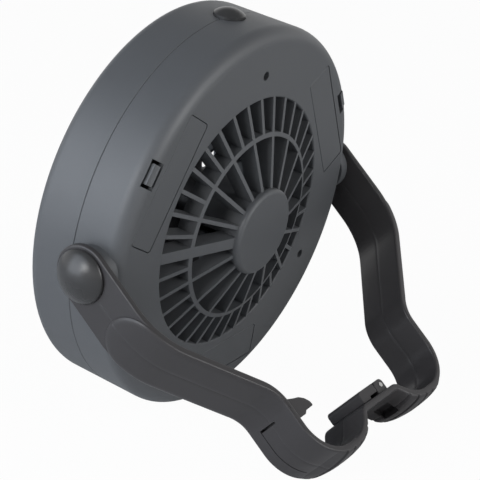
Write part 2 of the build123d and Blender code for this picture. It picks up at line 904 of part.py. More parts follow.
with BuildPart() as impeller:
    with BuildSketch(radial):
        hub_inner = impeller_hub_radius - impeller_hub_wall
        web = impeller_front - impeller_hub_wall
        with BuildLine():
            FilletPolyline(
                (hub_inner, impeller_rear),
                (impeller_hub_radius, impeller_rear),
                (impeller_hub_radius, impeller_front),
                (shaft_radius, impeller_front),
                (shaft_radius, impeller_boss_rear),
                (impeller_boss_radius, impeller_boss_rear),
                (impeller_boss_radius, web),
                (hub_inner, web),
                radius=[0, 0, impeller_edge, 0, 0, 0, 1.0, 0.5],
                close=True,
            )
        make_face()
    revolve(axis=fan_axis)
    for number in range(blade_count):
        add(blade.part.rotate(fan_axis, number * 360 / blade_count - blade_start))
    with BuildSketch(fan.offset(impeller_rear - 1)):
        Circle(hub_inner)
    extrude(amount=web - impeller_rear + 1 - 5, mode=Mode.SUBTRACT)
    with BuildSketch(fan.offset(impeller_boss_rear)):
        Circle(impeller_boss_radius)
        Circle(shaft_radius, mode=Mode.SUBTRACT)
    extrude(amount=web - impeller_boss_rear)
impeller.part.label = "impeller"
export_step(impeller.part, "parts/impeller.step")

# ---- Power button and switch ---------------------------------------------

top_axis = Plane(origin=fan_point(0, 0, button_depth), x_dir=(1, 0, 0), z_dir=fan.z_dir)
button_axis = Axis(top_axis.origin, fan.y_dir)
flange_top = sqrt((body_radius - wall) ** 2 - button_flange_radius**2) - body_gap
flange_base = flange_top - button_flange_thickness
plunger_top = board_distance + board_thickness + switch_height + button_travel + 0.9
plunger_base = plunger_top - switch_height

with BuildPart() as power_button:
    with BuildSketch(top_axis):
        with BuildLine():
            Polyline(
                (0, button_top),
                (0, plunger_top),
                (button_stem_radius, plunger_top),
                (button_stem_radius, flange_base),
                (button_flange_radius, flange_base),
                (button_flange_radius, flange_top),
                (button_radius, flange_top),
                (button_radius, button_shoulder),
            )
            rise = button_top - button_shoulder
            dome_radius = (button_radius**2 + rise**2) / (2 * rise)
            RadiusArc((button_radius, button_shoulder), (0, button_top), -dome_radius)
        make_face()
    revolve(axis=button_axis)
power_button.part.label = "power_button"
export_step(power_button.part, "parts/power_button.step")

with BuildPart() as switch_plunger:
    with BuildSketch(Plane(origin=fan_point(0, plunger_base, button_depth), z_dir=fan.y_dir)):
        Circle(plunger_radius)
    extrude(amount=plunger_top - plunger_base)
switch_plunger.part.label = "switch_plunger"
export_step(switch_plunger.part, "parts/switch_plunger.step")

switch_base = Plane(
    origin=fan_point(0, board_distance + board_thickness, button_depth),
    x_dir=(1, 0, 0),
    z_dir=fan.y_dir,
)
with BuildPart() as switch_body:
    with BuildSketch(switch_base):
        Rectangle(switch_size, switch_size)
    extrude(amount=switch_height)
    with BuildSketch(switch_base.offset(0.6)):
        Circle(plunger_radius + running)
    extrude(amount=switch_height, mode=Mode.SUBTRACT)
switch_body.part.label = "switch_body"
export_step(switch_body.part, "parts/switch_body.step")

with BuildPart() as switch_board:
    with BuildSketch(fan.offset(board_start)):
        with Locations((0, board_distance + board_thickness / 2)):
            Rectangle(2 * board_half_width, board_thickness)
    extrude(amount=board_end - board_start)
switch_board.part.label = "switch_board"
export_step(switch_board.part, "parts/switch_board.step")

# ---- Leads ---------------------------------------------------------------

channel_lead_x = 20.0
lead_side = lead_channel_width / 2 - lead_radius - running
lead_lift = spoke_depth / 2 + lead_radius + 0.5
duct_lead_circle = duct_radius + lead_bend
lead_level_step = 2 * lead_radius + 0.4


def circle_points(start, end, radius, depth):
    """World points along the rim from one angle to another, a lead_step apart."""
    steps = max(1, round(abs(end - start) / lead_step))
    return [
        rim_point(start + (end - start) * step / steps, radius, depth) for step in range(steps + 1)
    ]


def motor_lead(number):
    """Lead from the motor's end cap, along the wide spoke and round to the switch board."""
    side = lead_side * (1 - 2 * number)
    level = lead_depth - 2.0 + number * lead_level_step
    board_x = 11.0 - 2.5 * number
    rear = motor_rear - motor_cap_depth - lead_radius
    far = duct_radius + 1
    turn_x = duct_lead_circle + 1.5
    start_angle = 90 - degrees(atan2(side, turn_x)) - 14
    end_angle = degrees(atan2(board_x, duct_lead_circle))
    points = [
        fan_point(3, side, rear),
        fan_point(motor_radius + lead_motor_space, side, rear),
        fan_point(channel_lead_x, side, cone_depth(channel_lead_x) + lead_lift),
        fan_point(far, side, cone_depth(far) + lead_lift),
        fan_point(turn_x, side, cone_depth(turn_x) + lead_lift + 2),
        fan_point(turn_x, side, level),
    ]
    points += circle_points(start_angle, end_angle, duct_lead_circle, level)
    points += [
        fan_point(board_x, board_distance + board_thickness / 2, level),
        fan_point(board_x, board_distance + board_thickness / 2, board_end),
    ]
    return lead(points, lead_turn)


with BuildPart() as motor_leads:
    add(motor_lead(0))
    add(motor_lead(1))
motor_leads.part.label = "motor_leads"
export_step(motor_leads.part, "parts/motor_leads.step")

battery_level = lead_depth + 2.5


def box_lead_end(angle, distance):
    """Two world points of a lead: at its contact and above the box."""
    local = (lead_hole_end, distance)
    return [
        sector(angle).from_local_coords((*local, contact_end)),
        sector(angle).from_local_coords((*local, battery_level)),
    ]


def box_lead_angle(angle, distance):
    """Angle from the top at which a box's lead leaves it."""
    return angle + degrees(atan2(lead_hole_end, distance))


def board_lead_end(x):
    """Two world points of a lead: above the switch board's front end, and on it."""
    return [
        fan_point(x, board_distance + board_thickness / 2, battery_level),
        fan_point(x, board_distance + board_thickness / 2, board_end),
    ]


box_list = list(box_angles.values())
with BuildPart() as battery_leads:
    for first, second in ((box_list[0], box_list[1]), (box_list[1], box_list[2])):
        begin = box_lead_angle(first, high_lead_distance) + lead_step_off
        finish = box_lead_angle(second, low_lead_distance) - lead_step_off
        route = box_lead_end(first, high_lead_distance)
        route += circle_points(begin, finish, lead_circle, battery_level)
        route += box_lead_end(second, low_lead_distance)[::-1]
        add(lead(route, lead_turn))
    begin = box_lead_angle(box_list[0], low_lead_distance) - lead_step_off
    route = box_lead_end(box_list[0], low_lead_distance)
    route += circle_points(begin, lead_step_off, lead_circle, battery_level)
    route += board_lead_end(4.0)
    add(lead(route, lead_turn))
    begin = box_lead_angle(box_list[2], high_lead_distance) + lead_step_off
    route = box_lead_end(box_list[2], high_lead_distance)
    route += circle_points(begin, 360 - lead_step_off, lead_circle, battery_level)
    route += board_lead_end(-4.0)
    add(lead(route, lead_turn))
battery_leads.part.label = "battery_leads"
export_step(battery_leads.part, "parts/battery_leads.step")

# ---- Case screws ---------------------------------------------------------

with BuildPart() as case_screws:
    for angle in screw_angles:
        with BuildSketch(sector(angle, case_screw_seat - case_screw_head_height)):
            with Locations((0, case_screw_distance)):
                Circle(case_screw_head)
        extrude(amount=case_screw_head_height)
        with BuildSketch(sector(angle, case_screw_seat)):
            with Locations((0, case_screw_distance)):
                Circle(case_screw_shank)
        extrude(amount=case_screw_end - case_screw_seat)
        with BuildSketch(sector(angle, case_screw_seat - case_screw_head_height)):
            with Locations((0, case_screw_distance)):
                Rectangle(case_screw_cross, case_screw_cross_width)
                Rectangle(case_screw_cross_width, case_screw_cross)
        extrude(amount=case_screw_cross_depth, mode=Mode.SUBTRACT)
case_screws.part.label = "case_screws"
export_step(case_screws.part, "parts/case_screws.step")

# ---- Pivots --------------------------------------------------------------

pivot_head_seat = arm_outer + body_gap
nut_face = body_radius - pivot_post_length

with BuildPart() as friction_washers:
    for side in (1, -1):
        with BuildSketch(side_plane(side * pivot_boss_face)):
            Circle(washer_radius)
            Circle(pivot_screw_radius, mode=Mode.SUBTRACT)
        extrude(amount=arm_inner - pivot_boss_face - 2 * running)
friction_washers.part.label = "friction_washers"
export_step(friction_washers.part, "parts/friction_washers.step")

with BuildPart() as pivot_screws:
    for side in (1, -1):
        with BuildSketch(side_plane(side * (nut_face - pivot_nut_thickness - 1))):
            Circle(pivot_screw_radius)
        extrude(amount=pivot_head_seat - nut_face + pivot_nut_thickness + 1)
        with BuildSketch(side_plane(side * pivot_head_seat)):
            Circle(pivot_head_radius)
        extrude(amount=pivot_head_height)
pivot_screws.part.label = "pivot_screws"
export_step(pivot_screws.part, "parts/pivot_screws.step")

with BuildPart() as pivot_nuts:
    for side in (1, -1):
        with BuildSketch(side_plane(side * (nut_face - pivot_nut_thickness))):
            RegularPolygon(pivot_nut_size / 2, 6, major_radius=False)
            Circle(pivot_screw_radius, mode=Mode.SUBTRACT)
        extrude(amount=pivot_nut_thickness)
pivot_nuts.part.label = "pivot_nuts"
export_step(pivot_nuts.part, "parts/pivot_nuts.step")


def pivot_cap(side):
    """Domed cap over the pivot screw, with a ring plug that sits in the bail's arm."""
    plug_end = arm_outer - cap_plug_depth
    cavity = pivot_head_seat + pivot_head_height + 2 * body_gap
    dome_rise = cap_rise - cap_skirt
    dome_radius = (cap_radius**2 + dome_rise**2) / (2 * dome_rise)
    with BuildPart() as cap:
        with BuildSketch(bail_plane):
            with BuildLine():
                Polyline(
                    (side * (arm_outer + cap_rise), 0),
                    (side * cavity, 0),
                    (side * cavity, cap_plug_inner),
                    (side * plug_end, cap_plug_inner),
                    (side * plug_end, cap_plug_outer),
                    (side * arm_outer, cap_plug_outer),
                    (side * arm_outer, cap_radius),
                    (side * (arm_outer + cap_skirt), cap_radius),
                )
                RadiusArc(
                    (side * (arm_outer + cap_skirt), cap_radius),
                    (side * (arm_outer + cap_rise), 0),
                    side * dome_radius,
                )
            make_face()
        revolve(axis=Axis(pivot_point, (1, 0, 0)))
    return cap.part


pivot_cap_right = pivot_cap(1)
pivot_cap_right.label = "pivot_cap_right"
export_step(pivot_cap_right, "parts/pivot_cap_right.step")

pivot_cap_left = pivot_cap(-1)
pivot_cap_left.label = "pivot_cap_left"
export_step(pivot_cap_left, "parts/pivot_cap_left.step")

# ---- Bail ----------------------------------------------------------------

lobe_middle = lobe_reach - bail_wall / 2
step_rise = lobe_reach - lobe_corner - bail_wall / 2 * sqrt(2)
notch_middle = notch_reach - bail_wall / 2
half_strap = [
    (arm_middle, -bail_width / 2 - 1),
    (arm_middle, elbow_sum - arm_middle),
    (neck_middle, elbow_sum - neck_middle),
    (neck_middle, lobe_middle),
    (lobe_middle - step_rise, lobe_middle),
    (notch_middle - step_rise, notch_middle),
]
half_bends = [
    elbow_radius - bail_wall / 2,
    neck_radius + bail_wall / 2,
    lobe_side_radius - bail_wall / 2,
    lobe_corner_radius - bail_wall / 2,
    notch_radius + bail_wall / 2,
]
strap_points = half_strap + [(-x, u) for x, u in reversed(half_strap)]
strap_bends = half_bends + half_bends[::-1]
pad_outer = arm_outer + pad_rise
pad_sum = elbow_middle + elbow_start + (elbow_radius + pad_rise) * sqrt(2)
pad_top = pad_start - bail_width / 2
pad_end = pad_sum - neck_outer + 10
slot_low = slot_middle - slot_height / 2
slot_high = slot_middle + slot_height / 2


def corner_middle(side):
    """World point that the round corner between a lobe and its step turns about."""
    corner_x = lobe_corner + lobe_corner_radius * tan(radians(45 / 2))
    return bail_plane.from_local_coords((side * corner_x, lobe_reach - lobe_corner_radius, 0))


def across_bail(x, u, width, height, low, high, turn=0):
    """A block cut from the bail: its middle and size in x and u, and its span in z."""
    with BuildSketch(bail_plane.offset(low)) as block:
        with Locations(Location((x, u), turn)):
            Rectangle(width, height)
    extrude(block.sketch, amount=high - low, mode=Mode.SUBTRACT)


with BuildPart() as bail:
    # Flat strap bent along its route.
    with BuildSketch(bail_plane):
        with BuildLine():
            FilletPolyline(*strap_points, radius=strap_bends)
            offset(amount=bail_wall / 2, side=Side.BOTH, kind=Kind.INTERSECTION)
        make_face()
    extrude(amount=bail_width / 2, both=True)
    # Pads raised on the elbows.
    for side in (1, -1):
        with BuildSketch(bail_plane):
            with BuildLine():
                FilletPolyline(
                    (side * pad_outer, pad_top),
                    (side * pad_outer, pad_sum - pad_outer),
                    (side * neck_outer, pad_sum - neck_outer),
                    (side * neck_outer, pad_end),
                    (side * neck_middle, pad_end),
                    (side * neck_middle, elbow_sum - neck_middle),
                    (side * arm_middle, elbow_sum - arm_middle),
                    (side * arm_middle, pad_top),
                    radius=[
                        0,
                        elbow_radius + pad_rise,
                        neck_radius,
                        0,
                        0,
                        neck_radius + bail_wall / 2,
                        elbow_radius - bail_wall / 2,
                        0,
                    ],
                    close=True,
                )
            make_face()
        extrude(amount=bail_width / 2, both=True)
        with BuildSketch(side_plane(side * arm_outer)):
            with Locations((pad_top + bail_width / 8, 0)):
                Rectangle(3 * bail_width / 4, bail_width + 2)
            with Locations((pad_start, 0)):
                Circle(bail_width / 2, mode=Mode.SUBTRACT)
        extrude(amount=pad_rise + 1, mode=Mode.SUBTRACT)
        # Round end of the arm, pivot bore and the groove for the cap's plug.
        with BuildSketch(side_plane(side * (arm_inner - 1))):
            with Locations((-bail_width / 2, 0)):
                Rectangle(bail_width, bail_width + 2)
            Circle(bail_width / 2, mode=Mode.SUBTRACT)
        extrude(amount=bail_wall + 3, mode=Mode.SUBTRACT)
        with BuildSketch(side_plane(side * (arm_inner - 1))):
            Circle(pivot_screw_radius + running)
        extrude(amount=bail_wall + 3, mode=Mode.SUBTRACT)
        with BuildSketch(side_plane(side * (arm_outer - cap_plug_depth))):
            Circle(cap_plug_outer)
            Circle(cap_plug_inner, mode=Mode.SUBTRACT)
        extrude(amount=cap_plug_depth + 1, mode=Mode.SUBTRACT)
        # Grip ribs round the lobe's corner, highest at mid width.
        for number in range(grip_count):
            turn = radians(grip_start + number * grip_pitch)
            outwards = bail_plane.x_dir * (-side * sin(turn)) + bail_plane.y_dir * cos(turn)
            across = bail_plane.x_dir * (side * cos(turn)) + bail_plane.y_dir * sin(turn)
            with BuildSketch(Plane(origin=corner_middle(side), x_dir=outwards, z_dir=across)):
                Polygon(
                    (lobe_corner_radius - bail_wall / 2, -bail_width / 2),
                    (lobe_corner_radius, -bail_width / 2),
                    (lobe_corner_radius + grip_rise, 0),
                    (lobe_corner_radius, bail_width / 2),
                    (lobe_corner_radius - bail_wall / 2, bail_width / 2),
                    align=None,
                )
            extrude(amount=grip_width / 2, both=True)
        # Pocket in the outer face of the step between the lobe and the notch.
        pocket_shift = (step_pocket_floor + 1) * sqrt(0.5)
        across_bail(
            side * ((lobe_middle + notch_middle - 2 * step_rise) / 2 - pocket_shift),
            (lobe_middle + notch_middle) / 2 + pocket_shift,
            step_pocket_length,
            bail_wall + 2,
            slot_low,
            slot_high,
            side * 45,
        )
    # Slot through the right-hand neck, with a shallow groove on from its end.
    across_bail(neck_middle, slot_reach, bail_wall + 2, slot_gap, slot_low, slot_high)
    groove_radius = lobe_side_radius - groove_depth / 2
    lobe_side_middle = neck_outer - lobe_side_radius
    with BuildSketch(bail_plane.offset(slot_low)):
        with BuildLine():
            Line(
                (lobe_side_middle + groove_radius, slot_reach),
                (lobe_side_middle + groove_radius, lobe_reach - lobe_side_radius),
            )
            CenterArc(
                (lobe_side_middle, lobe_reach - lobe_side_radius), groove_radius, 0, 62
            )
        trace(line_width=groove_depth + running)
    extrude(amount=groove_width, mode=Mode.SUBTRACT)
    # Hollow boss inside the right-hand neck, level with the strap's edge.
    with BuildSketch(bail_plane.offset(bail_width / 2)):
        with Locations((anchor_x, anchor_u)):
            Circle(anchor_radius)
    extrude(amount=-anchor_height)
    with BuildSketch(bail_plane.offset(bail_width / 2)):
        with Locations((anchor_x, anchor_u)):
            Circle(anchor_hole)
    extrude(amount=-anchor_height + 1, mode=Mode.SUBTRACT)
    # Two ears at the middle of the notch, for the line clip's pin.
    clip_back = notch_reach - bail_wall
    clip_front = clip_back - clip_depth
    pin_u = clip_front + clip_depth / 2
    for low, high in ((clip_low, clip_ear_low), (clip_ear_high, clip_high)):
        with BuildSketch(bail_plane.offset(low)):
            Polygon(
                (-clip_half_length, clip_front),
                (clip_ear_end - 1.2, clip_front),
                (clip_ear_end, pin_u - 0.5),
                (clip_ear_end, clip_back + bail_wall / 2),
                (-clip_half_length, clip_back + bail_wall / 2),
                align=None,
            )
        extrude(amount=high - low)
    with BuildSketch(bail_plane.offset(clip_low - 1)):
        with Locations((clip_pin_x, pin_u)):
            Circle(clip_pin_radius)
    extrude(amount=clip_high - clip_low + 2, mode=Mode.SUBTRACT)
bail.part.label = "bail"
export_step(bail.part, "parts/bail.step")

# ---- Line clip -----------------------------------------------------------

jaw_start = clip_ear_end + body_gap
jaw_back = clip_back - body_gap
pocket_floor = jaw_back - clip_pocket_depth

with BuildPart() as line_clip:
    with BuildSketch(bail_plane.offset(clip_low)):
        Polygon(
            (jaw_start, clip_front),
            (clip_half_length, clip_front),
            (clip_half_length, jaw_back),
            (clip_pocket_end, jaw_back),
            (clip_pocket_end, pocket_floor),
            (jaw_start, pocket_floor),
            align=None,
        )
    extrude(amount=clip_high - clip_low)
    with BuildSketch(bail_plane.offset(clip_knuckle_low)):
        with Locations((clip_pin_x, pin_u)):
            Circle(clip_knuckle_radius)
        with Locations(((clip_pin_x + jaw_start) / 2, pin_u - 0.6)):
            Rectangle(jaw_start - clip_pin_x + 1, 2 * clip_knuckle_radius - 2)
    extrude(amount=clip_knuckle_high - clip_knuckle_low)
    with BuildSketch(bail_plane.offset(clip_knuckle_low - 1)):
        with Locations((clip_pin_x, pin_u)):
            Circle(clip_pin_radius + running)
    extrude(amount=clip_knuckle_high - clip_knuckle_low + 2, mode=Mode.SUBTRACT)
line_clip.part.label = "line_clip"
export_step(line_clip.part, "parts/line_clip.step")

with BuildPart() as clip_pin:
    with BuildSketch(bail_plane.offset(clip_low)):
        with Locations((clip_pin_x, pin_u)):
            Circle(clip_pin_radius)
    extrude(amount=clip_high - clip_low + body_gap)
clip_pin.part.label = "clip_pin"
export_step(clip_pin.part, "parts/clip_pin.step")

# The closed coil is turned as one ridged ring; its leg rests against the notch wall.
coil_mean = clip_pin_radius + clip_wire / 2 + 0.3
coil_start = clip_knuckle_high + body_gap + clip_wire / 2
coil_turns = 3
coil_pitch = 0.95 * clip_wire
leg_radius = 0.4 * clip_wire
with BuildPart() as clip_spring:
    with BuildSketch(
        Plane(
            origin=bail_plane.from_local_coords((clip_pin_x, pin_u, 0)),
            x_dir=bail_plane.x_dir,
            z_dir=-bail_plane.y_dir,
        )
    ):
        for number in range(coil_turns):
            with Locations((coil_mean, coil_start + number * coil_pitch)):
                Circle(clip_wire / 2)
    revolve(axis=Axis(bail_plane.from_local_coords((clip_pin_x, pin_u, 0)), bail_plane.z_dir))
    leg_start = Plane(
        origin=bail_plane.from_local_coords((clip_pin_x, pin_u + coil_mean, coil_start)),
        z_dir=bail_plane.x_dir,
    )
    with BuildSketch(leg_start):
        Circle(leg_radius)
    extrude(amount=jaw_start - clip_pin_x + 3)
clip_spring.part.label = "clip_spring"
export_step(clip_spring.part, "parts/clip_spring.step")
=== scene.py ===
import json
from math import pi, radians, sqrt, tan

import bmesh
import bpy
import numpy as np
from mathutils import Matrix, Vector


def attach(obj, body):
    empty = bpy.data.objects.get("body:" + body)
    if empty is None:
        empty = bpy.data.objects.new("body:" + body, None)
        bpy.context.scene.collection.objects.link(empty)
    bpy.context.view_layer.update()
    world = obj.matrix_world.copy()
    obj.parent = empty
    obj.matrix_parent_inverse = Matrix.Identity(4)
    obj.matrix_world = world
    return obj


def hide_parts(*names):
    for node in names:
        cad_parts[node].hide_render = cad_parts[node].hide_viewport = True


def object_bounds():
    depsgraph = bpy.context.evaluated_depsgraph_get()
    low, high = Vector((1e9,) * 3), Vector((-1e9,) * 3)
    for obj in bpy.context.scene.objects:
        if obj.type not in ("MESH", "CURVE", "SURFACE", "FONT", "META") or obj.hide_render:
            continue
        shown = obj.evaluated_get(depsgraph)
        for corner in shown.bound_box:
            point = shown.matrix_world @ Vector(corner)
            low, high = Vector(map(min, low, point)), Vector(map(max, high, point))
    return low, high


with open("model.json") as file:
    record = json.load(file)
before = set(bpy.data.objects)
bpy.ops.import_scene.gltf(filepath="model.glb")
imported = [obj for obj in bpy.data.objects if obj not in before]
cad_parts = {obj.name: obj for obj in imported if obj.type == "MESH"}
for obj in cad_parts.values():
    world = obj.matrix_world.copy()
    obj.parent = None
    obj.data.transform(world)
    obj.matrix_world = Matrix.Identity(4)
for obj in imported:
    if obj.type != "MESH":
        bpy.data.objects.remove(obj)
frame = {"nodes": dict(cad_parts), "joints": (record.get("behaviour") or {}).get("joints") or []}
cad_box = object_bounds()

# ---- Camera, floor and lights ---------------------------------------------------------
# The fan stands on a wide white floor under a pale sky. A large cool panel lights it from
# the left of the camera, a small one beside the camera puts the glint on domes and edges,
# and one on the right lights the rear face.

MM = 0.001
camera_place = Vector((612.1, 361.3, 325.9)) * MM
camera_back = Vector((0.7794, 0.4585, 0.4269))
camera_up = Vector((-0.2752, -0.3617, 0.8908))
camera_lens = 117.9
rear_face_depth = 28.0 * MM
floor_radius = 3.0
floor_sides = 96
floor_colour = (0.9, 0.9, 0.9, 1)
floor_roughness = 0.9

# The camera sees the floor mostly as plain white, by the share of its lift. The sky's light falls
# on the fan, and its seen level is what the camera, gloss and clear pieces meet. Overhead both
# dim to a share, between two heights on the unit sphere.
floor_lift = 0.965
sky_tint = (0.97, 0.985, 1.0, 1)
sky_light = 0.22
sky_seen = 1.0
sky_overhead = 0.25
sky_dim_start = 0.25
sky_dim_end = 0.75

# Each panel's way from the fan is a mix of the camera's right, up and back and of straight up.
# Distances and widths are in metres, and powers in watts.
left_way = (-1.0, 0.0, 0.62, 0.3)
left_distance = 1.3
left_width = 1.1
left_power = 10.8
left_tint = (0.82, 0.895, 1.0)
front_way = (-0.46, 0.12, 0.88, 0.0)
front_distance = 1.3
front_width = 0.38
front_power = 4.0
right_way = (1.0, 0.0, 0.5, 0.15)
right_distance = 1.4
right_width = 0.8
right_power = 8.0

# The camera is placed in the casing's own frame: across it, behind it and up it, from the
# middle of its rear face.
joints = {joint["name"]: joint for joint in frame["joints"]}
fan_forwards = Vector(joints["impeller_spin"]["axis"])
fan_across = Vector((1, 0, 0))
fan_up = fan_forwards.cross(fan_across)
fan_turn = Matrix((fan_across, -fan_forwards, fan_up)).transposed()
fan_rear = Vector(joints["impeller_spin"]["pos_m"]) - fan_forwards * rear_face_depth
camera_back = (fan_turn @ camera_back).normalized()
camera_right = (fan_turn @ camera_up).cross(camera_back).normalized()
camera_up = camera_back.cross(camera_right)
camera_turn = Matrix((camera_right, camera_up, camera_back)).transposed()
camera_data = bpy.data.cameras.new("camera")
camera_data.lens = camera_lens
camera_data.sensor_width = 36.0
camera_data.clip_start = 0.01
camera = bpy.data.objects.new("camera", camera_data)
camera.matrix_world = Matrix.Translation(fan_rear + fan_turn @ camera_place) @ camera_turn.to_4x4()
bpy.context.scene.collection.objects.link(camera)
bpy.context.scene.camera = camera
bpy.context.scene.view_settings.view_transform = "Standard"


def node_in(tree, kind, **inputs):
    """A new shader node of a kind, with its named inputs set."""
    node = tree.nodes.new(kind)
    for name, value in inputs.items():
        node.inputs[name.replace("_", " ")].default_value = value
    return node


def soft_panel(name, way, distance, width, power, tint=(1.0, 1.0, 1.0)):
    """Square lamp that faces the fan's middle from a distance along its way."""
    right, up, back, skywards = way
    towards = camera_right * right + camera_up * up + camera_back * back + Vector((0, 0, skywards))
    middle = (cad_box[0] + cad_box[1]) / 2
    lamp = bpy.data.lights.new(name, "AREA")
    lamp.shape = "SQUARE"
    lamp.size = width
    lamp.energy = power
    lamp.color = tint
    panel = bpy.data.objects.new(name, lamp)
    panel.location = middle + towards.normalized() * distance
    panel.rotation_mode = "QUATERNION"
    panel.rotation_quaternion = towards.to_track_quat("Z", "Y")
    bpy.context.scene.collection.objects.link(panel)


soft_panel("left_panel", left_way, left_distance, left_width, left_power, left_tint)
soft_panel("front_panel", front_way, front_distance, front_width, front_power)
soft_panel("right_panel", right_way, right_distance, right_width, right_power)

# The sky is white round the horizon and dims overhead. What reflects it sees it brighter.
sky = bpy.data.worlds.new("sky")
sky.use_nodes = True
sky_tree = sky.node_tree
sky_tree.nodes.clear()
ray = sky_tree.nodes.new("ShaderNodeLightPath")
seen = sky_tree.nodes.new("ShaderNodeMath")
seen.operation = "MAXIMUM"
through = sky_tree.nodes.new("ShaderNodeMath")
through.operation = "MAXIMUM"
sky_tree.links.new(ray.outputs["Is Camera Ray"], seen.inputs[0])
sky_tree.links.new(ray.outputs["Is Glossy Ray"], seen.inputs[1])
sky_tree.links.new(seen.outputs[0], through.inputs[0])
sky_tree.links.new(ray.outputs["Is Transmission Ray"], through.inputs[1])
direction = sky_tree.nodes.new("ShaderNodeTexCoord")
height = sky_tree.nodes.new("ShaderNodeSeparateXYZ")
sky_tree.links.new(direction.outputs["Generated"], height.inputs[0])
dimming = node_in(sky_tree, "ShaderNodeMapRange", From_Min=sky_dim_start, From_Max=sky_dim_end)
dimming.interpolation_type = "SMOOTHSTEP"
sky_tree.links.new(height.outputs["Z"], dimming.inputs["Value"])
lighting = node_in(sky_tree, "ShaderNodeBackground", Color=sky_tint)
backdrop = node_in(sky_tree, "ShaderNodeBackground", Color=(1, 1, 1, 1))
for background, level in ((lighting, sky_light), (backdrop, sky_seen)):
    shade = node_in(sky_tree, "ShaderNodeMapRange")
    shade.inputs["To Min"].default_value = level
    shade.inputs["To Max"].default_value = level * sky_overhead
    sky_tree.links.new(dimming.outputs["Result"], shade.inputs["Value"])
    sky_tree.links.new(shade.outputs["Result"], background.inputs["Strength"])
sky_mix = sky_tree.nodes.new("ShaderNodeMixShader")
sky_out = sky_tree.nodes.new("ShaderNodeOutputWorld")
sky_tree.links.new(through.outputs[0], sky_mix.inputs[0])
sky_tree.links.new(lighting.outputs[0], sky_mix.inputs[1])
sky_tree.links.new(backdrop.outputs[0], sky_mix.inputs[2])
sky_tree.links.new(sky_mix.outputs[0], sky_out.inputs["Surface"])
bpy.context.scene.world = sky


def new_material(name):
    """An empty node material and its tree."""
    material = bpy.data.materials.new(name)
    material.use_nodes = True
    material.node_tree.nodes.clear()
    return material, material.node_tree


floor_paint, floor_tree = new_material("floor_paint")
floor_shader = node_in(
    floor_tree, "ShaderNodeBsdfPrincipled", Base_Color=floor_colour, Roughness=floor_roughness
)
floor_white = node_in(floor_tree, "ShaderNodeEmission", Color=(1, 1, 1, 1), Strength=1.0)
floor_ray = floor_tree.nodes.new("ShaderNodeLightPath")
floor_share = floor_tree.nodes.new("ShaderNodeMath")
floor_share.operation = "MULTIPLY"
floor_share.inputs[1].default_value = floor_lift
floor_mix = floor_tree.nodes.new("ShaderNodeMixShader")
floor_out = floor_tree.nodes.new("ShaderNodeOutputMaterial")
floor_tree.links.new(floor_ray.outputs["Is Camera Ray"], floor_share.inputs[0])
floor_tree.links.new(floor_share.outputs[0], floor_mix.inputs[0])
floor_tree.links.new(floor_shader.outputs[0], floor_mix.inputs[1])
floor_tree.links.new(floor_white.outputs[0], floor_mix.inputs[2])
floor_tree.links.new(floor_mix.outputs[0], floor_out.inputs["Surface"])


def grid_faces(rows, columns):
    """Quads over a grid of rings: every row's points are joined to the next row's, and its last
    point to its first."""
    index = np.arange(rows * columns).reshape(rows, columns)
    index = np.hstack((index, index[:, :1]))
    corners = (index[:-1, :-1], index[1:, :-1], index[1:, 1:], index[:-1, 1:])
    return np.stack(corners, axis=-1).reshape(-1, 4)


sharp_angle = radians(35.0)
merge_distance = 1e-7


def piece_from(name, points, faces, material):
    """Closed piece from points in millimetres: doubles are merged, faces turned outwards, and
    edges shaded smooth below the sharp angle."""
    mesh = bpy.data.meshes.new(name)
    vertices = points.reshape(-1, 3) * MM
    mesh.from_pydata(vertices.tolist(), [], [list(face) for face in faces])
    form = bmesh.new()
    form.from_mesh(mesh)
    bmesh.ops.remove_doubles(form, verts=form.verts, dist=merge_distance)
    bmesh.ops.recalc_face_normals(form, faces=form.faces)
    form.to_mesh(mesh)
    form.free()
    mesh.shade_smooth()
    mesh.set_sharp_from_angle(angle=sharp_angle)
    mesh.materials.append(material)
    piece = bpy.data.objects.new(name, mesh)
    bpy.context.scene.collection.objects.link(piece)
    return piece


# The floor is a disc of three rings, the inmost one drawn in to its middle.
floor_angle = np.linspace(0, 2 * pi, floor_sides, endpoint=False)
floor_ring = np.array((0.0, 0.5, 1.0))[:, None] * floor_radius / MM
floor_across = floor_ring * np.cos(floor_angle)
floor_along = floor_ring * np.sin(floor_angle)
floor_points = np.stack((floor_across, floor_along, np.zeros_like(floor_across)), axis=-1)
floor = piece_from("floor", floor_points, grid_faces(*floor_across.shape), floor_paint)

# ---- Casing ---------------------------------------------------------------------------
# Two deep mouldings of dark bluish grey ABS make a drum with a grille in each face. Their
# skin is a fine matt spark texture, and they meet at a V-shaped parting groove.

casing_grey = (0.098, 0.103, 0.110, 1)
casing_roughness = 0.46
casing_grain = 0.22
casing_grain_height = 0.012
usual_specular = 0.5
drift_size = 35.0
speck_fineness = 0.4
speck_share = 0.35
tone_spread = 0.1
gloss_spread = 0.05
noise_low = 0.3
noise_high = 0.7


def shade_of(colour, share):
    """A colour scaled by a share, opaque."""
    return (colour[0] * share, colour[1] * share, colour[2] * share, 1)


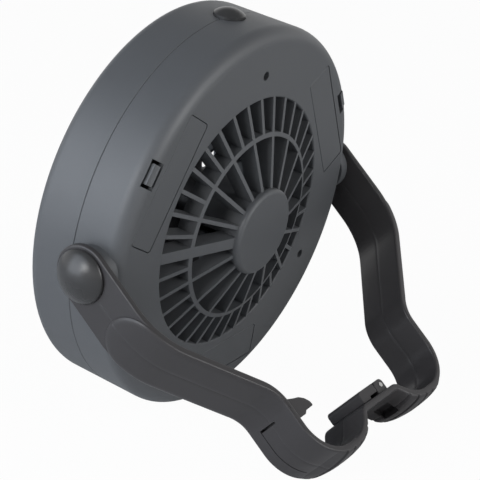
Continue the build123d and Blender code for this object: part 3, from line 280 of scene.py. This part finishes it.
def moulded_plastic(name, colour, roughness, grain, grain_height, specular=usual_specular):
    """Moulded plastic: colour and gloss drift slowly over the skin, specks vary the colour, and a
    fine spark grain roughens it. The grain's size and height are in millimetres."""
    material, tree = new_material(name)
    link = tree.links.new
    place = tree.nodes.new("ShaderNodeTexCoord")
    drift_scale = 1 / (drift_size * MM)
    grain_scale = 1 / (grain * MM)
    speck_scale = speck_fineness * grain_scale
    drift = node_in(tree, "ShaderNodeTexNoise", Scale=drift_scale, Detail=3.0, Roughness=0.6)
    fine = node_in(tree, "ShaderNodeTexNoise", Scale=grain_scale, Detail=4.0, Roughness=0.65)
    speck = node_in(tree, "ShaderNodeTexNoise", Scale=speck_scale, Detail=2.0, Roughness=0.5)
    for texture in (drift, fine, speck):
        link(place.outputs["Object"], texture.inputs["Vector"])
    blend = tree.nodes.new("ShaderNodeMix")
    blend.data_type = "RGBA"
    blend.inputs["A"].default_value = shade_of(colour, 1 - tone_spread)
    blend.inputs["B"].default_value = shade_of(colour, 1 + tone_spread)
    tone = tree.nodes.new("ShaderNodeMath")
    tone.operation = "MULTIPLY_ADD"
    tone.inputs[1].default_value = speck_share
    link(speck.outputs["Fac"], tone.inputs[0])
    share = tree.nodes.new("ShaderNodeMath")
    share.operation = "MULTIPLY"
    share.inputs[1].default_value = 1 - speck_share
    link(drift.outputs["Fac"], share.inputs[0])
    link(share.outputs[0], tone.inputs[2])
    link(tone.outputs[0], blend.inputs["Factor"])
    gloss = node_in(tree, "ShaderNodeMapRange", From_Min=noise_low, From_Max=noise_high)
    gloss.inputs["To Min"].default_value = roughness - gloss_spread
    gloss.inputs["To Max"].default_value = roughness + gloss_spread
    link(drift.outputs["Fac"], gloss.inputs["Value"])
    bump = node_in(tree, "ShaderNodeBump", Strength=1.0, Distance=grain_height * MM)
    link(fine.outputs["Fac"], bump.inputs["Height"])
    shader = tree.nodes.new("ShaderNodeBsdfPrincipled")
    shader.inputs["Specular IOR Level"].default_value = specular
    link(blend.outputs["Result"], shader.inputs["Base Color"])
    link(gloss.outputs["Result"], shader.inputs["Roughness"])
    link(bump.outputs["Normal"], shader.inputs["Normal"])
    out = tree.nodes.new("ShaderNodeOutputMaterial")
    link(shader.outputs[0], out.inputs["Surface"])
    return material


def dress(material, *nodes):
    """Gives CAD nodes a material."""
    for name in nodes:
        frame["nodes"][name].data.materials.clear()
        frame["nodes"][name].data.materials.append(material)


casing_plastic = moulded_plastic(
    "casing_plastic", casing_grey, casing_roughness, casing_grain, casing_grain_height
)
dress(casing_plastic, "rear_shell", "front_shell")

# ---- Battery doors --------------------------------------------------------------------
# Three flush doors of the same grey ABS close the battery boxes. Each hooks under the rear
# face by its inner edge and is held by a sprung latch finger at its outer edge.

dress(casing_plastic, "battery_door_right", "battery_door_bottom", "battery_door_left")

# ---- Screws, motor and contacts -------------------------------------------------------
# Zinc-plated steel screws hold the casing, the motor plate and the pivots. The plating is bright,
# with fine marks and a cloudy film. The contacts are nickel-plated, and the motor's end cap, the
# switch's plunger and the pivots' washers are white nylon.

zinc_colour = (0.58, 0.58, 0.57, 1)
zinc_roughness = 0.32
nickel_colour = (0.66, 0.62, 0.56, 1)
nickel_roughness = 0.22
cloud_size = 4.0
mark_fineness = 12.0
mark_height = 0.004
cloud_tones = (0.8, 1.12)
cloud_gloss = (-0.08, 0.1)
nylon_white = (0.62, 0.61, 0.56, 1)


def plated_metal(name, colour, roughness):
    """Plated metal: a cloudy film varies its colour and gloss, and fine marks its surface."""
    material, tree = new_material(name)
    link = tree.links.new
    place = tree.nodes.new("ShaderNodeTexCoord")
    film = node_in(tree, "ShaderNodeTexNoise", Scale=1 / (cloud_size * MM), Detail=4.0, Roughness=0.7)
    marks = node_in(tree, "ShaderNodeTexNoise", Scale=mark_fineness / (cloud_size * MM), Detail=2.0)
    link(place.outputs["Object"], film.inputs["Vector"])
    link(place.outputs["Object"], marks.inputs["Vector"])
    blend = tree.nodes.new("ShaderNodeMix")
    blend.data_type = "RGBA"
    blend.inputs["A"].default_value = shade_of(colour, cloud_tones[0])
    blend.inputs["B"].default_value = shade_of(colour, cloud_tones[1])
    link(film.outputs["Fac"], blend.inputs["Factor"])
    gloss = node_in(tree, "ShaderNodeMapRange", From_Min=noise_low, From_Max=noise_high)
    gloss.inputs["To Min"].default_value = roughness + cloud_gloss[0]
    gloss.inputs["To Max"].default_value = roughness + cloud_gloss[1]
    link(film.outputs["Fac"], gloss.inputs["Value"])
    bump = node_in(tree, "ShaderNodeBump", Strength=1.0, Distance=mark_height * MM)
    link(marks.outputs["Fac"], bump.inputs["Height"])
    shader = node_in(tree, "ShaderNodeBsdfPrincipled", Metallic=1.0)
    link(blend.outputs["Result"], shader.inputs["Base Color"])
    link(gloss.outputs["Result"], shader.inputs["Roughness"])
    link(bump.outputs["Normal"], shader.inputs["Normal"])
    out = tree.nodes.new("ShaderNodeOutputMaterial")
    link(shader.outputs[0], out.inputs["Surface"])
    return material


zinc_plate = plated_metal("zinc_plate", zinc_colour, zinc_roughness)
nickel_plate = plated_metal("nickel_plate", nickel_colour, nickel_roughness)
dress(zinc_plate, "case_screws", "pivot_screws", "pivot_nuts", "bracket_screws", "motor_screws")
dress(zinc_plate, "motor_bracket", "motor_can", "motor_shaft", "clip_pin", "clip_spring")
dress(nickel_plate, "contact_links", "contact_ends")
nylon = moulded_plastic("nylon", nylon_white, roughness=0.4, grain=0.3, grain_height=0.006)
dress(nylon, "motor_end_cap", "switch_plunger", "friction_washers")

# ---- Battery cells --------------------------------------------------------------------
# Six AA cells in plain blue-grey sleeves, shrunk over the steel cans. The sleeve stops short
# of both ends, where the nickel-plated can, its nub and its flat foot show; here each whole cell takes
# the sleeve's blue-grey.

sleeve_blue = (0.035, 0.07, 0.13, 1)
sleeve = moulded_plastic("sleeve", sleeve_blue, roughness=0.25, grain=0.6, grain_height=0.004)
for box in ("right", "bottom", "left"):
    dress(sleeve, f"cell_{box}_a", f"cell_{box}_b")

# ---- Leads ----------------------------------------------------------------------------
# Thin stranded leads in soft vinyl sleeves, red for the motor and black for the cells,
# laid round the casing behind the duct.

lead_red = (0.32, 0.015, 0.012, 1)
lead_black = (0.02, 0.02, 0.022, 1)
for leads, colour in (("motor", lead_red), ("battery", lead_black)):
    vinyl = moulded_plastic(f"{leads}_lead_vinyl", colour, roughness=0.38, grain=0.4, grain_height=0.01)
    dress(vinyl, f"{leads}_leads")

# ---- Impeller -------------------------------------------------------------------------
# A black moulding with five cambered blades round a capped hub, pressed on the motor's
# shaft. Its skin is smoother than the casing's.

impeller_black = (0.018, 0.018, 0.02, 1)
impeller_plastic = moulded_plastic(
    "impeller_plastic", impeller_black, roughness=0.36, grain=0.4, grain_height=0.006
)
dress(impeller_plastic, "impeller")

# ---- Power button and switch ----------------------------------------------------------
# A domed push button of satin black ABS stands out of the top of the rim, over a latching
# switch on a small board.

cap_black = (0.036, 0.036, 0.037, 1)
switch_black = (0.03, 0.03, 0.03, 1)
board_green = (0.02, 0.12, 0.05, 1)
cap_plastic = moulded_plastic("cap_plastic", cap_black, roughness=0.3, grain=0.35, grain_height=0.006)
switch_plastic = moulded_plastic(
    "switch_plastic", switch_black, roughness=0.5, grain=0.3, grain_height=0.01
)
board_lacquer = moulded_plastic(
    "board_lacquer", board_green, roughness=0.3, grain=0.5, grain_height=0.006
)
dress(cap_plastic, "power_button")
dress(switch_plastic, "switch_body")
dress(board_lacquer, "switch_board")

# ---- Bail -----------------------------------------------------------------------------
# One flat strap moulded in satin black nylon, bent round the casing as stand and hanger.
# Both faces are drafted from a fine parting line at mid width, and its edges are rounded.

bail_black = (0.050, 0.0475, 0.0495, 1)
bail_plastic = moulded_plastic(
    "bail_plastic", bail_black, roughness=0.33, grain=0.45, grain_height=0.007, specular=0.35
)
strap_half_width = 14.8
half_wall = 1.9
strap_draft = 0.3
strap_edge = (0.9, 0.9)
parting_depth = 0.1
parting_half_width = 0.3
edge_turns = np.radians(np.arange(0, 91, 15))
face_start = 2.0
face_margin = 0.6
face_columns = 6
tip_turns = np.radians(np.arange(0, 90, 5))
strap_step = 3.0
station_gap = 0.25

# The strap's middle line in millimetres, across and down from the pivots: down the arm, in along
# the elbow's slope, down the neck, across the lobe's foot, and up the step's slope to the notch.
# Both slopes stand at 45 degrees, and each corner has its own bend radius.
arm_middle = 106.5
elbow_down = 44.196
neck_middle = 59.7
lobe_down = 131.1
step_across = 25.787
notch_down = 120.7
half_route = (
    (arm_middle, -strap_half_width),
    (arm_middle, elbow_down),
    (neck_middle, elbow_down + arm_middle - neck_middle),
    (neck_middle, lobe_down),
    (step_across, lobe_down),
    (step_across - lobe_down + notch_down, notch_down),
)
half_bends = (39.1, 19.9, 20.1, 22.1, 5.0)

# The bail's own axes: across the casing, down the bail, and square to the strap's edge.
bail_pivot = np.array(joints["bail_pivot"]["pos_m"]) / MM
bail_edgewards = -Vector(joints["clip_hinge"]["axis"])
bail_down = bail_edgewards.cross(fan_across)
bail_axes = np.array((fan_across, bail_down, bail_edgewards))


def on_bail(x, u, n):
    """Points in millimetres from places across, down and edgewards of the bail's pivot."""
    return bail_pivot + np.stack(np.broadcast_arrays(x, u, n), axis=-1) @ bail_axes


def rounded_route(corners, bends, turn_step):
    """Straight runs joined by tangent arcs with points a turn step in degrees apart: each point,
    its distance along the route, and its normal, which is the heading turned a quarter right."""
    corners = np.asarray(corners, float)
    run = np.diff(corners, axis=0)
    ways = run / np.linalg.norm(run, axis=1, keepdims=True)
    points, headings = [corners[:1]], [ways[:1]]
    for corner, way_in, way_out, bend in zip(corners[1:-1], ways[:-1], ways[1:], bends):
        side = np.sign(way_in[0] * way_out[1] - way_in[1] * way_out[0])
        left = side * np.array((-way_in[1], way_in[0]))
        turn = np.arccos(np.clip(way_in @ way_out, -1, 1))
        middle = corner - way_in * bend * tan(turn / 2) + left * bend
        angle = np.linspace(0, turn, int(np.degrees(turn) / turn_step) + 2)[:, None]
        points.append(middle - left * bend * np.cos(angle) + way_in * bend * np.sin(angle))
        headings.append(way_in * np.cos(angle) + left * np.sin(angle))
    points = np.vstack(points + [corners[-1:]])
    headings = np.vstack(headings + [ways[-1:]])
    along = np.concatenate(([0.0], np.cumsum(np.linalg.norm(np.diff(points, axis=0), axis=1))))
    return points, along, np.stack((headings[:, 1], -headings[:, 0]), axis=-1)


full_route = half_route + tuple((-x, u) for x, u in reversed(half_route))
full_bends = half_bends + half_bends[::-1]
strap_line, strap_along, strap_normal = rounded_route(full_route, full_bends, turn_step=4.0)
strap_length = strap_along[-1]


def strap_place(along, lift, edgewards):
    """Points of the strap from a distance along its middle line, a lift outwards from the line
    and a place across the width. The line runs from one arm's tip round to the other's."""
    line = np.stack([np.interp(along, strap_along, strap_line[:, axis]) for axis in (0, 1)], axis=-1)
    out = np.stack([np.interp(along, strap_along, strap_normal[:, axis]) for axis in (0, 1)], axis=-1)
    place = line + out / np.linalg.norm(out, axis=-1, keepdims=True) * lift[..., None]
    return on_bail(place[..., 0], place[..., 1], edgewards)


def width_columns(edge):
    """Places across the strap, as shares of its half width: close together at the parting line
    and over the rounded edge."""
    flat = strap_half_width - edge
    line = np.array((0.0, 0.5, 1.0)) * parting_half_width
    face = np.linspace(face_start, flat - face_margin, face_columns)
    rim = flat + edge * np.sin(edge_turns)
    half = np.concatenate((line, face, rim)) / strap_half_width
    return np.concatenate((-half[:0:-1], half))


def moulded_plate(stations, ends, low, high, edge, low_edge=None, swell=None):
    """Closed plate along the strap with round ends about the middles in ends. Each face is a
    height field: it falls by the draft from mid width to the outline, dips in the parting line,
    and rounds over an edge by a quarter ellipse, wide and deep. Without an edge of its own, the
    low face is flat. swell adds to the high face by the places along and across it."""
    along = np.asarray(stations)[:, None]
    past = np.maximum(np.maximum(ends[0] - along, along - ends[1]), 0)
    half = np.sqrt(np.maximum(strap_half_width**2 - past**2, 0))
    across = width_columns(edge[0])[None, :] * half
    along = np.broadcast_to(along, across.shape)
    inset = strap_half_width - np.hypot(past, across)
    slope = strap_draft * np.abs(across) / strap_half_width
    line = parting_depth * np.maximum(1 - np.abs(across) / parting_half_width, 0)

    def rounding(wide, deep):
        return deep * (1 - np.sqrt(np.maximum(1 - np.maximum(1 - inset / wide, 0) ** 2, 0)))

    top = high - slope - line - rounding(*edge)
    if swell:
        top = top + swell(along, across)
    bottom = low + slope + line + rounding(*low_edge) if low_edge else np.full(across.shape, low)
    low_face = strap_place(along, bottom, across)[:, ::-1]
    return np.concatenate((strap_place(along, top, across), low_face), axis=1)


def round_end(middle, way):
    """Distances from a round end's tip to its middle, closest together at the tip."""
    return middle - way * strap_half_width * np.cos(tip_turns)


def between(start, end, step):
    """Stations from start to end: the route's own points, and even ones about a step apart."""
    even = np.linspace(start, end, int(round((end - start) / step)) + 1)
    inner = strap_along[(strap_along > start + station_gap) & (strap_along < end - station_gap)]
    clear = np.abs(even[None, :] - inner[:, None]).min(axis=0) > station_gap
    return np.sort(np.concatenate((inner, even[clear])))


def bail_piece(
    name, points, faces, material=bail_plastic, stands_for="bail", body="bail", slot="bail_black"
):
    """A new piece that stands for the bail's solid, or another, and rides with its body."""
    piece = piece_from(name, points, faces, material)
    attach(piece, body)
    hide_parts(stands_for)
    return piece


arm_ends = (strap_half_width, strap_length - strap_half_width)
strap_stations = np.concatenate(
    (round_end(arm_ends[0], 1), between(*arm_ends, strap_step), round_end(arm_ends[1], -1)[::-1])
)
strap_grid = moulded_plate(strap_stations, arm_ends, -half_wall, half_wall, strap_edge, strap_edge)
strap = bail_piece("bail_strap", strap_grid, grid_faces(*strap_grid.shape[:2]))

# ---- Slot, groove and pockets ---------------------------------------------------------
# A blind slot crosses part of the right-hand neck, a fine groove runs on from it round the lobe,
# and each lobe's step has a thin-floored pocket. All are moulded into the strap's outer face.

slot_low = -8.0
slot_high = 3.0
slot_gap = 1.2
slot_floor = 0.5
slot_down = 102.0
groove_width = 0.6
groove_depth = 0.5
groove_run = 31.0
groove_rows = 24
pocket_middle = 22.53
pocket_length = 7.0
pocket_floor = 1.2
cutter_top = 3.0
pocket_cutter_top = 6.0


def strap_block(name, start, end, low, high, from_edge, to_edge, rows=2):
    """Closed block that follows the strap between two distances, two lifts and two places
    across it."""
    along = np.linspace(start, end, rows)[:, None]
    lift = np.array((low, high, high, low))[None, :]
    across = np.array((from_edge, from_edge, to_edge, to_edge))[None, :]
    along, lift, across = np.broadcast_arrays(along, lift, across)
    index = np.arange(4 * rows).reshape(rows, 4)
    faces = np.concatenate((grid_faces(rows, 4), index[:1], index[-1:]))
    return piece_from(name, strap_place(along, lift, across), faces, bail_plastic)


def cut(piece, *cutters):
    """Takes the cutters out of a piece, and removes them."""
    for cutter in cutters:
        carve = piece.modifiers.new("cut", "BOOLEAN")
        carve.operation = "DIFFERENCE"
        carve.solver = "EXACT"
        carve.object = cutter
        carved = piece.evaluated_get(bpy.context.evaluated_depsgraph_get())
        piece.data = bpy.data.meshes.new_from_object(carved)
        piece.modifiers.clear()
        bpy.data.objects.remove(cutter)
    piece.data.shade_smooth()
    piece.data.set_sharp_from_angle(angle=sharp_angle)


def pocket_cutter(side):
    """Block that cuts the pocket of one side's step, from its outer face to a thin floor."""
    start = strap_length / 2 - side * pocket_middle - pocket_length / 2
    return strap_block(
        "pocket_cutter",
        start,
        start + pocket_length,
        pocket_floor - half_wall,
        pocket_cutter_top,
        slot_low,
        slot_high,
    )


# The line runs down all the way from the right arm's tip to the lobe, so the slot's place down
# the bail gives its station there.
descent = slice(strap_line[:, 1].argmax())
slot_middle = np.interp(slot_down, strap_line[descent, 1], strap_along[descent])
slot_cutter = strap_block(
    "slot_cutter",
    slot_middle - slot_gap / 2,
    slot_middle + slot_gap / 2,
    slot_floor - half_wall,
    cutter_top,
    slot_low,
    slot_high,
)
groove_cutter = strap_block(
    "groove_cutter",
    slot_middle,
    slot_middle + groove_run,
    half_wall - groove_depth,
    cutter_top,
    slot_low,
    slot_low + groove_width,
    groove_rows,
)
cut(strap, slot_cutter, groove_cutter, pocket_cutter(1), pocket_cutter(-1))

# ---- Elbow pads -----------------------------------------------------------------------
# A pad of the same nylon is raised on the outer face of each elbow. It starts in a round end of
# the strap's own width, and sinks into the face where the strap bends down into the neck.

pad_rise = 1.2
pad_edge = (3.0, 1.2)
pad_depth = 1.2
pad_start = 54.3
pad_step = 2.0
fade_start = 115.26
fade_end = 131.4
fade_turns = np.radians(np.linspace(0, 45, 10))
pad_tail = 1.5
pad_sink = 0.12


def pad_fade(along, across):
    """Nothing at first, then down to the strap's face as the gap between an arc of an eighth turn
    and its last tangent closes, and in the tail a little below it."""
    places = fade_start + (fade_end - fade_start) * fade_turns / fade_turns[-1]
    falls = pad_rise * (1 - sqrt(2) * np.sin(pi / 4 - fade_turns))
    places = np.append(places, fade_end + pad_tail)
    return -np.interp(along, places, np.append(falls, pad_rise + pad_sink))


def mirrored(grid):
    """The same points on the other side of the bail."""
    place = (grid - bail_pivot) @ bail_axes.T * (-1, 1, 1)
    return on_bail(place[..., 0], place[..., 1], place[..., 2])


def drawn_in(ring):
    """The ring's points all moved to its middle, which closes the end of a plate."""
    return np.broadcast_to(ring.mean(axis=0), ring[None].shape)


pad_stations = np.concatenate(
    (round_end(pad_start, 1), between(pad_start, fade_end + pad_tail, pad_step))
)
pad_grid = moulded_plate(
    pad_stations,
    (pad_start, strap_length),
    half_wall - pad_depth,
    half_wall + pad_rise,
    pad_edge,
    swell=pad_fade,
)
pad_grid = np.concatenate((pad_grid, drawn_in(pad_grid[-1])))
pad_faces = grid_faces(*pad_grid.shape[:2])
bail_piece("elbow_pad_right", pad_grid, pad_faces)
bail_piece("elbow_pad_left", mirrored(pad_grid), pad_faces)

# ---- Lobe feet ------------------------------------------------------------------------
# A crowned foot of the same nylon swells out round the corner of each lobe. V-shaped grooves
# across it leave ribs that grip the ground, and the step's pocket goes through it.

foot_start = 163.0
foot_end = 198.0
foot_step = 0.3
foot_ramp = 8.0
foot_rise = 2.5
foot_sink = 0.06
foot_depth = 1.3
tread_first = 175.4
tread_pitch = 5.8
tread_depth = 1.5
tread_half_width = 0.9


def foot_swell(along, across):
    """Half an ellipse across the strap less V-shaped grooves, but never below the strap's face,
    eased in and out along it by a smooth step. The foot's rim is sunk a little under the face."""
    ease = np.clip(np.minimum(along - foot_start, foot_end - along) / foot_ramp, 0, 1)
    from_groove = np.abs((along - tread_first + tread_pitch / 2) % tread_pitch - tread_pitch / 2)
    groove = tread_depth * np.maximum(1 - from_groove / tread_half_width, 0)
    crown = np.sqrt(np.maximum(1 - (across / strap_half_width) ** 2, 0))
    return np.maximum(foot_rise * crown - groove, 0) * ease**2 * (3 - 2 * ease) - foot_sink


foot_stations = np.arange(foot_start, foot_end, foot_step)
foot_grid = moulded_plate(
    foot_stations, (0, strap_length), half_wall - foot_depth, half_wall, strap_edge, swell=foot_swell
)
foot_grid = np.concatenate((drawn_in(foot_grid[0]), foot_grid, drawn_in(foot_grid[-1])))
foot_faces = grid_faces(*foot_grid.shape[:2])
cut(bail_piece("lobe_foot_right", foot_grid, foot_faces), pocket_cutter(1))
cut(bail_piece("lobe_foot_left", mirrored(foot_grid), foot_faces), pocket_cutter(-1))

# ---- Fin and ears ---------------------------------------------------------------------
# A fin inside the right-hand neck holds a line, and two ears on the notch's floor carry the line
# clip's pin. They are moulded with the strap, and their edges are rounded.

fin_outline = (
    (58.6, 96.6),
    (54.1, 98.0),
    (50.6, 98.8),
    (47.6, 100.6),
    (45.6, 103.0),
    (44.9, 105.6),
    (51.2, 105.9),
    (52.9, 107.2),
    (58.6, 107.2),
)
fin_bends = (0.3, 3.0, 3.0, 3.0, 1.6, 0.8, 1.2, 1.2, 0.3)
fin_span = (5.8, 14.3)
fin_round = 0.5
ear_outline = ((-11.0, 112.8), (-4.4, 112.8), (-3.2, 115.3), (-3.2, 120.7), (-11.0, 120.7))
ear_bends = (2.4, 1.6, 0.5, 0.3, 0.3)
ear_spans = ((-11.4, -4.0), (4.8, 12.7))
ear_round = 0.7
edge_segments = 3
edge_angle = radians(30)


def rounded_outline(corners, bends):
    """Closed outline whose corners are tangent arcs: the rounded route that starts and ends at
    the middle of its last side."""
    start = np.mean((corners[-1], corners[0]), axis=0)
    return rounded_route(np.vstack((start, corners, start)), bends, turn_step=12.0)[0][:-1]


def slab(name, outline, span, edge_round, **says):
    """Flat block: an outline across and down the bail, swept edgewards over a span, with a bevel
    round all its edges."""
    count = len(outline)
    points = on_bail(outline[None, :, 0], outline[None, :, 1], np.array(span)[:, None])
    faces = grid_faces(2, count).tolist() + np.arange(2 * count).reshape(2, count).tolist()
    piece = bail_piece(name, points, faces, **says)
    edges = piece.modifiers.new("edges", "BEVEL")
    edges.width = edge_round * MM
    edges.segments = edge_segments
    edges.limit_method = "ANGLE"
    edges.angle_limit = edge_angle
    edges.harden_normals = True


slab("line_fin", rounded_outline(fin_outline, fin_bends), fin_span, fin_round)
for number, ear_span in enumerate(ear_spans, 1):
    slab(f"clip_ear_{number}", rounded_outline(ear_outline, ear_bends), ear_span, ear_round)

# ---- Pivots ---------------------------------------------------------------------------
# A domed black cap covers each pivot screw and turns with the bail. Its skirt rests on the
# arm, and a ring on its back presses into a groove of the arm.

# Radii from the pivot's axis, and places along it from the middle of the fan.
cap_radius = 13.0
cap_foot = 108.42
cap_top = 115.8
cap_sides = 72
dome_radius = 17.08
dome_reach = 12.35
dome_rings = 14
ring_radius = 9.6
ring_back = 106.9
cavity_radius = 8.0
cavity_top = 111.5

# The profile is an arc over the dome, the rolled edge of the skirt as insets from the radius and
# rises from the foot, and the ring and the cavity inside. It is turned round the pivot's axis.
rim_roll = ((0.28, 1.53), (0.07, 1.18), (0.0, 0.78), (0.0, 0.38), (0.12, 0.13), (0.4, 0.0))
cap_inside = (
    (ring_radius, cap_foot),
    (ring_radius, ring_back),
    (cavity_radius, ring_back),
    (cavity_radius, cavity_top),
    (0.0, cavity_top),
)
dome_out = np.linspace(0, dome_reach, dome_rings)
dome_arc = np.stack((dome_out, cap_top - dome_radius + np.sqrt(dome_radius**2 - dome_out**2)), axis=1)
cap_rim = np.array((cap_radius, cap_foot)) + np.array(rim_roll) * (-1, 1)
cap_profile = np.vstack((dome_arc, cap_rim, cap_inside))
cap_angle = np.linspace(0, 2 * pi, cap_sides, endpoint=False)
for side, side_name in ((1, "right"), (-1, "left")):
    cap_grid = on_bail(
        side * np.broadcast_to(cap_profile[:, 1:], (len(cap_profile), len(cap_angle))),
        cap_profile[:, :1] * np.cos(cap_angle),
        cap_profile[:, :1] * np.sin(cap_angle),
    )
    bail_piece(
        "cap_" + side_name,
        cap_grid,
        grid_faces(*cap_grid.shape[:2]),
        cap_plastic,
        stands_for="pivot_cap_" + side_name,
        slot="cap_black",
    )

# ---- Line clip ------------------------------------------------------------------------
# A sprung jaw at the middle of the bail, of the same black nylon, swings on a steel pin. Its
# knuckle sits between the ears, and its tip closes the notch.

jaw_outline = ((-2.9, 112.8), (11.0, 112.8), (11.0, 119.1), (4.0, 119.1), (4.0, 117.6), (-2.9, 117.6))
jaw_bends = (0.6, 2.2, 0.8, 0.4, 0.4, 0.6)
jaw_span = (-11.4, 12.7)
jaw_round = 1.0
knuckle_middle = (-8.0, 115.8)
knuckle_radius = 2.6
knuckle_span = (-3.6, 1.0)
knuckle_round = 0.3
knuckle_tip = -2.0
knuckle_foot = 116.0

# The knuckle is half a round about the pin, drawn out square to where it joins the jaw.
knuckle_angle = np.linspace(0.5 * pi, 1.5 * pi, 13)
knuckle_arc = knuckle_middle + knuckle_radius * np.stack(
    (np.cos(knuckle_angle), np.sin(knuckle_angle)), axis=1
)
knuckle_end = ((knuckle_tip, knuckle_middle[1] - knuckle_radius), (knuckle_tip, knuckle_foot))
knuckle_outline = np.vstack((knuckle_arc, knuckle_end))
clip_says = {"stands_for": "line_clip", "body": "line_clip"}
slab("clip_jaw", rounded_outline(jaw_outline, jaw_bends), jaw_span, jaw_round, **clip_says)
slab("clip_knuckle", knuckle_outline, knuckle_span, knuckle_round, **clip_says)
